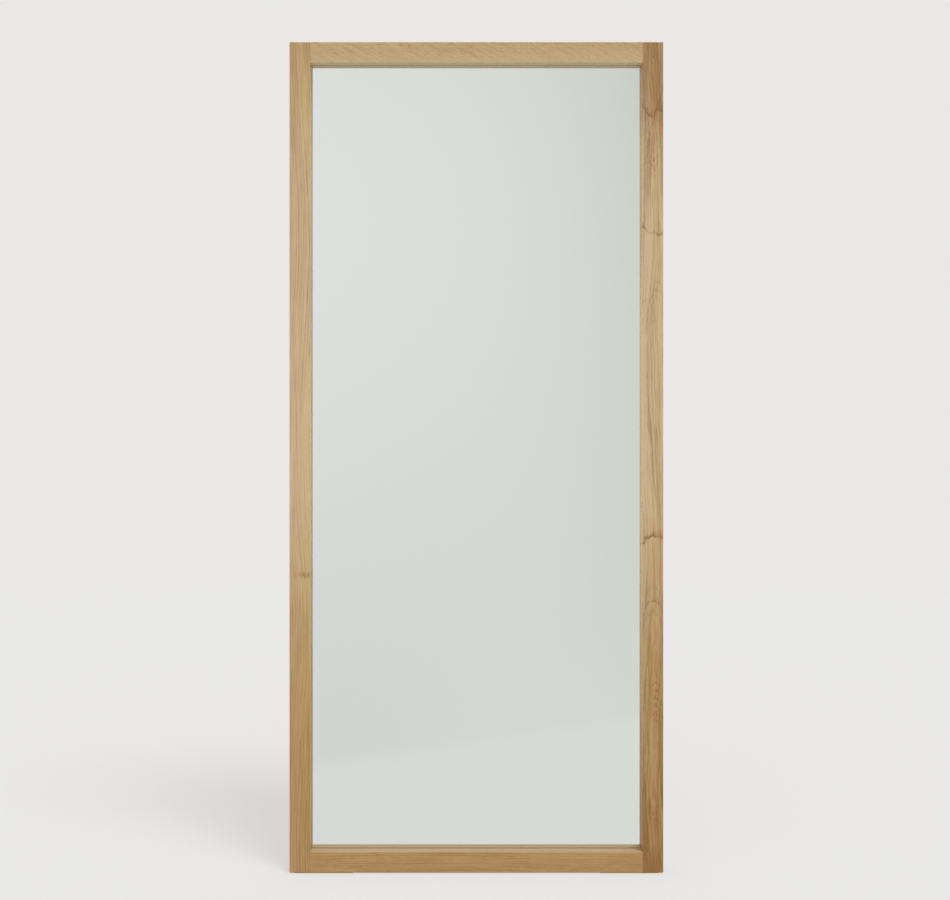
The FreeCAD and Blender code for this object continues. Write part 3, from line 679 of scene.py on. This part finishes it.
class MIRROR_OT_back_panel(bpy.types.Operator):
    """Gives the back panel its raw brown hardboard, with pale fibres pressed into it"""
    bl_idname = "floor_mirror.back_panel"
    bl_label = "Back panel"

    def execute(self, context):
        settings = context.scene.mirror_back
        hardboard = worn_material("back_panel", settings.panel, settings.fibre, grain=700, patches=9,
                                  amount=0.55, roughness=0.62)
        finish_piece("back_panel", hardboard)
        return {"FINISHED"}


class MIRROR_OT_hangers(bpy.types.Operator):
    """Gives the hangers' straps and rings their bright zinc plating"""
    bl_idname = "floor_mirror.hangers"
    bl_label = "Hangers"

    def execute(self, context):
        colour = context.scene.mirror_back.zinc
        zinc = worn_material("zinc_steel", colour, shaded(colour, 0.8), grain=1800, patches=160,
                             amount=0.5, roughness=0.3, metallic=1.0, bump=PLATING_BUMP)
        finish_pieces(("hanger_strap_", "hanger_ring_"), zinc)
        return {"FINISHED"}


class MIRROR_OT_screws(bpy.types.Operator):
    """Gives every screw its yellow zinc plating"""
    bl_idname = "floor_mirror.screws"
    bl_label = "Screws"

    def execute(self, context):
        colour = context.scene.mirror_back.yellow_zinc
        plating = worn_material("yellow_zinc", colour, PINK_ZINC, grain=1400, patches=240, amount=0.5,
                                roughness=0.28, metallic=1.0, bump=PLATING_BUMP)
        finish_pieces(("panel_screws_", "hanger_screws_"), plating)
        return {"FINISHED"}


class MIRROR_OT_bumpers_and_pads(bpy.types.Operator):
    """Gives the wall bumpers and the floor pads their rubber"""
    bl_idname = "floor_mirror.bumpers_and_pads"
    bl_label = "Bumpers and pads"

    def execute(self, context):
        settings = context.scene.mirror_back
        bumper = worn_material("bumper_rubber", settings.bumper, shaded(settings.bumper, 1.4), grain=900,
                               patches=70, amount=0.5, roughness=0.5)
        pad = worn_material("pad_rubber", settings.pad, shaded(settings.pad, 1.6), grain=1200, patches=60,
                            amount=0.5, roughness=0.75)
        finish_pieces("wall_bumper_", bumper)
        finish_pieces("floor_pad_", pad)
        return {"FINISHED"}


# ---------------------------------------------------------------- the studio

FLOOR_REACH = 9.0  # from the mirror to the floor's edge
FLOOR_SQUARES = 24  # along each side of the floor
FLOOR_FADE = (3.5, 6.5)  # distances from the mirror between which the floor melts into the background
FLOOR_ALBEDO = 0.42
FLOOR_SHARE_LIT = 0.416  # the part of the floor's brightness that comes from the lamps
FLOOR_BOUNCE = 0.45  # how much of the rest lights the pieces
MIRRORED_FLOOR_END = (1.0, 1.2)  # how far in front the floor ends in the mirror, from begin to end
MIRRORED_FLOOR_SLOPE = 0.513  # how much farther it reaches for each metre to the right
AMBIENT = 0.52
SUNS = {  # strength, angle to the right of straight in front, angle above the floor
    "far_sun": (0.45, math.radians(50), math.radians(60)),
    "near_sun": (0.58, math.radians(33), math.radians(64)),
}
SUN_WIDTH = math.radians(16)
SUN_PLACE = (0, 0, 3)  # only for show: a sun shines from everywhere along its direction
FRONT_LAMP_POWER = 9.4
FRONT_LAMP_SIZE = (1.2, 1.4)
BACK_LAMP_POWER = 26.0
BACK_LAMP_SIZE = (1.6, 1.6)
BACK_LAMP_PLACE = (-0.9, 2.2, 1.7)
BACK_LAMP_TURN = math.pi + math.radians(22)
# What the mirror and metal see of the room: the sum of coefficient * sideways^i * upwards^j of the
# direction they look in, for each (i, j), where sideways and upwards are held within their spans.
ROOM_GLOW = {
    (0, 0): 0.825, (1, 0): -0.250, (0, 1): 0.199,
    (1, 1): -1.042, (2, 0): -1.333, (0, 2): -0.354,
    (2, 1): -3.83, (1, 2): 1.94, (0, 3): -1.967, (3, 0): -6.19,
}
SIDEWAYS_SPAN = (-0.13, 0.15)
UPWARDS_SPAN = (-0.28, 0.27)
LEAST_FORWARD = 0.05  # keeps those slopes small when the direction runs along the mirror
ROOM_TINT = (1.0, 0.998, 0.996)
SENSOR_WIDTH = 36.0
IMAGE_WIDTH = 950
SIDE_SHIFT = 10  # how far the picture's middle lies right of the camera's axis, in pixels
DOWN_SHIFT = 58  # and below it


def make_floor():
    """A level square grid about the mirror: corner (i, j) lies at reach * (2i/n - 1, 2j/n - 1)."""
    steps = np.linspace(-FLOOR_REACH, FLOOR_REACH, FLOOR_SQUARES + 1)
    x, y = np.meshgrid(steps, steps, indexing="xy")
    corners = np.stack([x.ravel(), y.ravel(), np.zeros(x.size)], axis=1)
    row = FLOOR_SQUARES + 1
    first = (np.arange(FLOOR_SQUARES)[:, None] * row + np.arange(FLOOR_SQUARES)[None, :]).ravel()
    faces = np.stack([first, first + 1, first + row + 1, first + row], axis=1)
    mesh = bpy.data.meshes.new("floor")
    mesh.from_pydata(corners.tolist(), [], faces.tolist())
    floor = bpy.data.objects.new("floor", mesh)
    bpy.context.scene.collection.objects.link(floor)
    return floor


def floor_material(background):
    """A pale floor. Lamps light part of its brightness and cast the shadow there, and its own colour
    makes up the rest for the camera and for the mirror. It melts away far off, and in the mirror it ends
    a little way in front, where the studio begins."""
    material = bpy.data.materials.new("studio_floor")
    material.use_nodes = True
    tree = material.node_tree
    tree.nodes.clear()
    n = Nodes(tree)
    place = n.add("ShaderNodeTexCoord").outputs["Object"]
    path = n.add("ShaderNodeLightPath").outputs
    seen = n.total(path["Is Camera Ray"], path["Is Glossy Ray"])
    seen = n.math("ADD", seen, path["Is Transmission Ray"], clamp=True)
    albedo = rgba((FLOOR_ALBEDO, FLOOR_ALBEDO, FLOOR_ALBEDO))
    lit = n.add("ShaderNodeBsdfDiffuse", {"Color": albedo}).outputs[0]
    own_share = 1 - FLOOR_SHARE_LIT
    strength = n.ramp(seen, 0.0, 1.0, own_share * FLOOR_BOUNCE, own_share, kind="LINEAR")
    own = n.add("ShaderNodeEmission", {"Color": rgba(background), "Strength": strength}).outputs[0]
    whole = n.add("ShaderNodeAddShader", {0: lit, 1: own}).outputs[0]
    far = n.ramp(n.measure("LENGTH", place), *FLOOR_FADE)
    x, y, _ = n.axes(place)
    front = n.total(n.product(y, -1.0), n.product(x, -MIRRORED_FLOOR_SLOPE))
    beyond = n.product(n.ramp(front, *MIRRORED_FLOOR_END), path["Is Glossy Ray"])
    gone = n.math("MAXIMUM", n.product(far, seen), beyond)
    clear = n.add("ShaderNodeBsdfTransparent").outputs[0]
    shown = n.add("ShaderNodeMixShader", {0: gone, 1: whole, 2: clear}).outputs[0]
    n.add("ShaderNodeOutputMaterial", {"Surface": shown})
    return material


def make_world(background):
    """The studio round the mirror. The camera sees the plain background, the lamps' soft surroundings
    light the pieces evenly, and mirror and metal see a pale room, lighter on the left and up."""
    world = bpy.data.worlds.new("studio")
    world.use_nodes = True
    tree = world.node_tree
    tree.nodes.clear()
    n = Nodes(tree)
    path = n.add("ShaderNodeLightPath").outputs
    x, y, z = n.axes(n.add("ShaderNodeTexCoord").outputs["Generated"])
    forward = n.math("MAXIMUM", n.math("ABSOLUTE", y), LEAST_FORWARD)
    sideways = n.ramp(n.math("DIVIDE", x, forward), *SIDEWAYS_SPAN, *SIDEWAYS_SPAN, kind="LINEAR")
    upwards = n.ramp(n.math("DIVIDE", z, forward), *UPWARDS_SPAN, *UPWARDS_SPAN, kind="LINEAR")
    room = 0.0
    for (across, up), coefficient in ROOM_GLOW.items():
        term = n.product(coefficient, *[sideways] * across, *[upwards] * up)
        room = n.total(room, term)
    room_colour = n.blend(1.0, rgba(ROOM_TINT), n.join(room, room, room), "MULTIPLY")
    reflected = n.math("ADD", path["Is Glossy Ray"], path["Is Transmission Ray"], clamp=True)
    ambient = rgba((AMBIENT, AMBIENT, AMBIENT))
    colour = n.blend(reflected, n.blend(path["Is Camera Ray"], ambient, rgba(background)), room_colour)
    surface = n.add("ShaderNodeBackground", {"Color": colour}).outputs[0]
    n.add("ShaderNodeOutputWorld", {"Surface": surface})
    return world


def add_lamp(name, kind, place, turn, **settings):
    """A lamp that lights the pieces and is seen neither by the camera nor in the mirror."""
    lamp = bpy.data.lights.new(name, kind)
    for label, value in settings.items():
        setattr(lamp, label, value)
    item = bpy.data.objects.new(name, lamp)
    item.location = place
    item.rotation_euler = turn
    item.visible_camera = False
    item.visible_glossy = False
    bpy.context.scene.collection.objects.link(item)
    return item


def leave_out(lamp, *objects):
    """Keeps a lamp's light off some objects."""
    kept = bpy.data.collections.new(f"{lamp.name}_leaves_out")
    for item in objects:
        kept.objects.link(item)
    for entry in kept.collection_objects:
        entry.light_linking.link_state = "EXCLUDE"
    lamp.light_linking.receiver_collection = kept


class MIRROR_OT_stage(bpy.types.Operator):
    """Sets the floor, the lamps, the surroundings and the camera"""
    bl_idname = "floor_mirror.stage"
    bl_label = "Studio"

    def execute(self, context):
        settings = context.scene.mirror_studio
        background = settings.background
        floor = make_floor()
        floor.data.materials.append(floor_material(background))
        context.scene.world = make_world(background)
        self.add_lamps(settings, floor)
        self.add_camera(context, settings)
        context.scene.view_settings.view_transform = "Standard"
        return {"FINISHED"}

    def add_lamps(self, settings, floor):
        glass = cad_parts["mirror_glass"]
        for name, (strength, side, height) in SUNS.items():
            add_lamp(name, "SUN", SUN_PLACE, (QUARTER_TURN - height, 0, side), energy=strength,
                     angle=SUN_WIDTH)
        front = add_lamp("front_lamp", "AREA", (0, FRONT - settings.lamp_distance, settings.lamp_height),
                         (QUARTER_TURN, 0, 0), energy=FRONT_LAMP_POWER, shape="RECTANGLE",
                         size=FRONT_LAMP_SIZE[0], size_y=FRONT_LAMP_SIZE[1])
        leave_out(front, floor, glass)
        back = add_lamp("back_lamp", "AREA", BACK_LAMP_PLACE, (QUARTER_TURN, 0, BACK_LAMP_TURN),
                        energy=BACK_LAMP_POWER, shape="RECTANGLE", size=BACK_LAMP_SIZE[0],
                        size_y=BACK_LAMP_SIZE[1])
        leave_out(back, floor, glass)

    def add_camera(self, context, settings):
        data = bpy.data.cameras.new("camera")
        data.sensor_width = SENSOR_WIDTH
        data.lens = SENSOR_WIDTH * settings.camera_distance / settings.view_width
        data.shift_x = SIDE_SHIFT / IMAGE_WIDTH
        data.shift_y = -DOWN_SHIFT / IMAGE_WIDTH
        camera = bpy.data.objects.new("camera", data)
        camera.location = (settings.camera_side, FRONT - settings.camera_distance, settings.camera_height)
        camera.rotation_euler = (QUARTER_TURN, 0, 0)
        context.scene.collection.objects.link(camera)
        context.scene.camera = camera


# ---------------------------------------------------------------- the add-on

SETTINGS = {"mirror_oak": OakSettings, "mirror_glass": GlassSettings, "mirror_back": BackSettings,
            "mirror_studio": StudioSettings}
OPERATORS = (MIRROR_OT_oak_boards, MIRROR_OT_dowels, MIRROR_OT_glass, MIRROR_OT_glazing,
             MIRROR_OT_back_panel, MIRROR_OT_hangers, MIRROR_OT_screws, MIRROR_OT_bumpers_and_pads,
             MIRROR_OT_stage)


class MIRROR_PT_sidebar(bpy.types.Panel):
    """Lists the mirror's settings and what builds each piece's finish"""
    bl_idname = "MIRROR_PT_sidebar"
    bl_label = "Floor mirror"
    bl_space_type = "VIEW_3D"
    bl_region_type = "UI"
    bl_category = "Floor mirror"

    def draw(self, context):
        for name, group in SETTINGS.items():
            box = self.layout.box()
            for label in group.__annotations__:
                box.prop(getattr(context.scene, name), label)
        for operator in OPERATORS:
            self.layout.operator(operator.bl_idname)


CLASSES = (*SETTINGS.values(), *OPERATORS, MIRROR_PT_sidebar)


def register():
    for entry in CLASSES:
        bpy.utils.register_class(entry)
    for name, group in SETTINGS.items():
        setattr(bpy.types.Scene, name, bpy.props.PointerProperty(type=group))


def unregister():
    for name in SETTINGS:
        delattr(bpy.types.Scene, name)
    for entry in reversed(CLASSES):
        bpy.utils.unregister_class(entry)


def main():
    register()
    bpy.ops.floor_mirror.oak_boards()
    bpy.ops.floor_mirror.dowels()
    bpy.ops.floor_mirror.glass()
    bpy.ops.floor_mirror.glazing()
    bpy.ops.floor_mirror.back_panel()
    bpy.ops.floor_mirror.hangers()
    bpy.ops.floor_mirror.screws()
    bpy.ops.floor_mirror.bumpers_and_pads()
    bpy.ops.floor_mirror.stage()


if __name__ == "__main__":
    main()
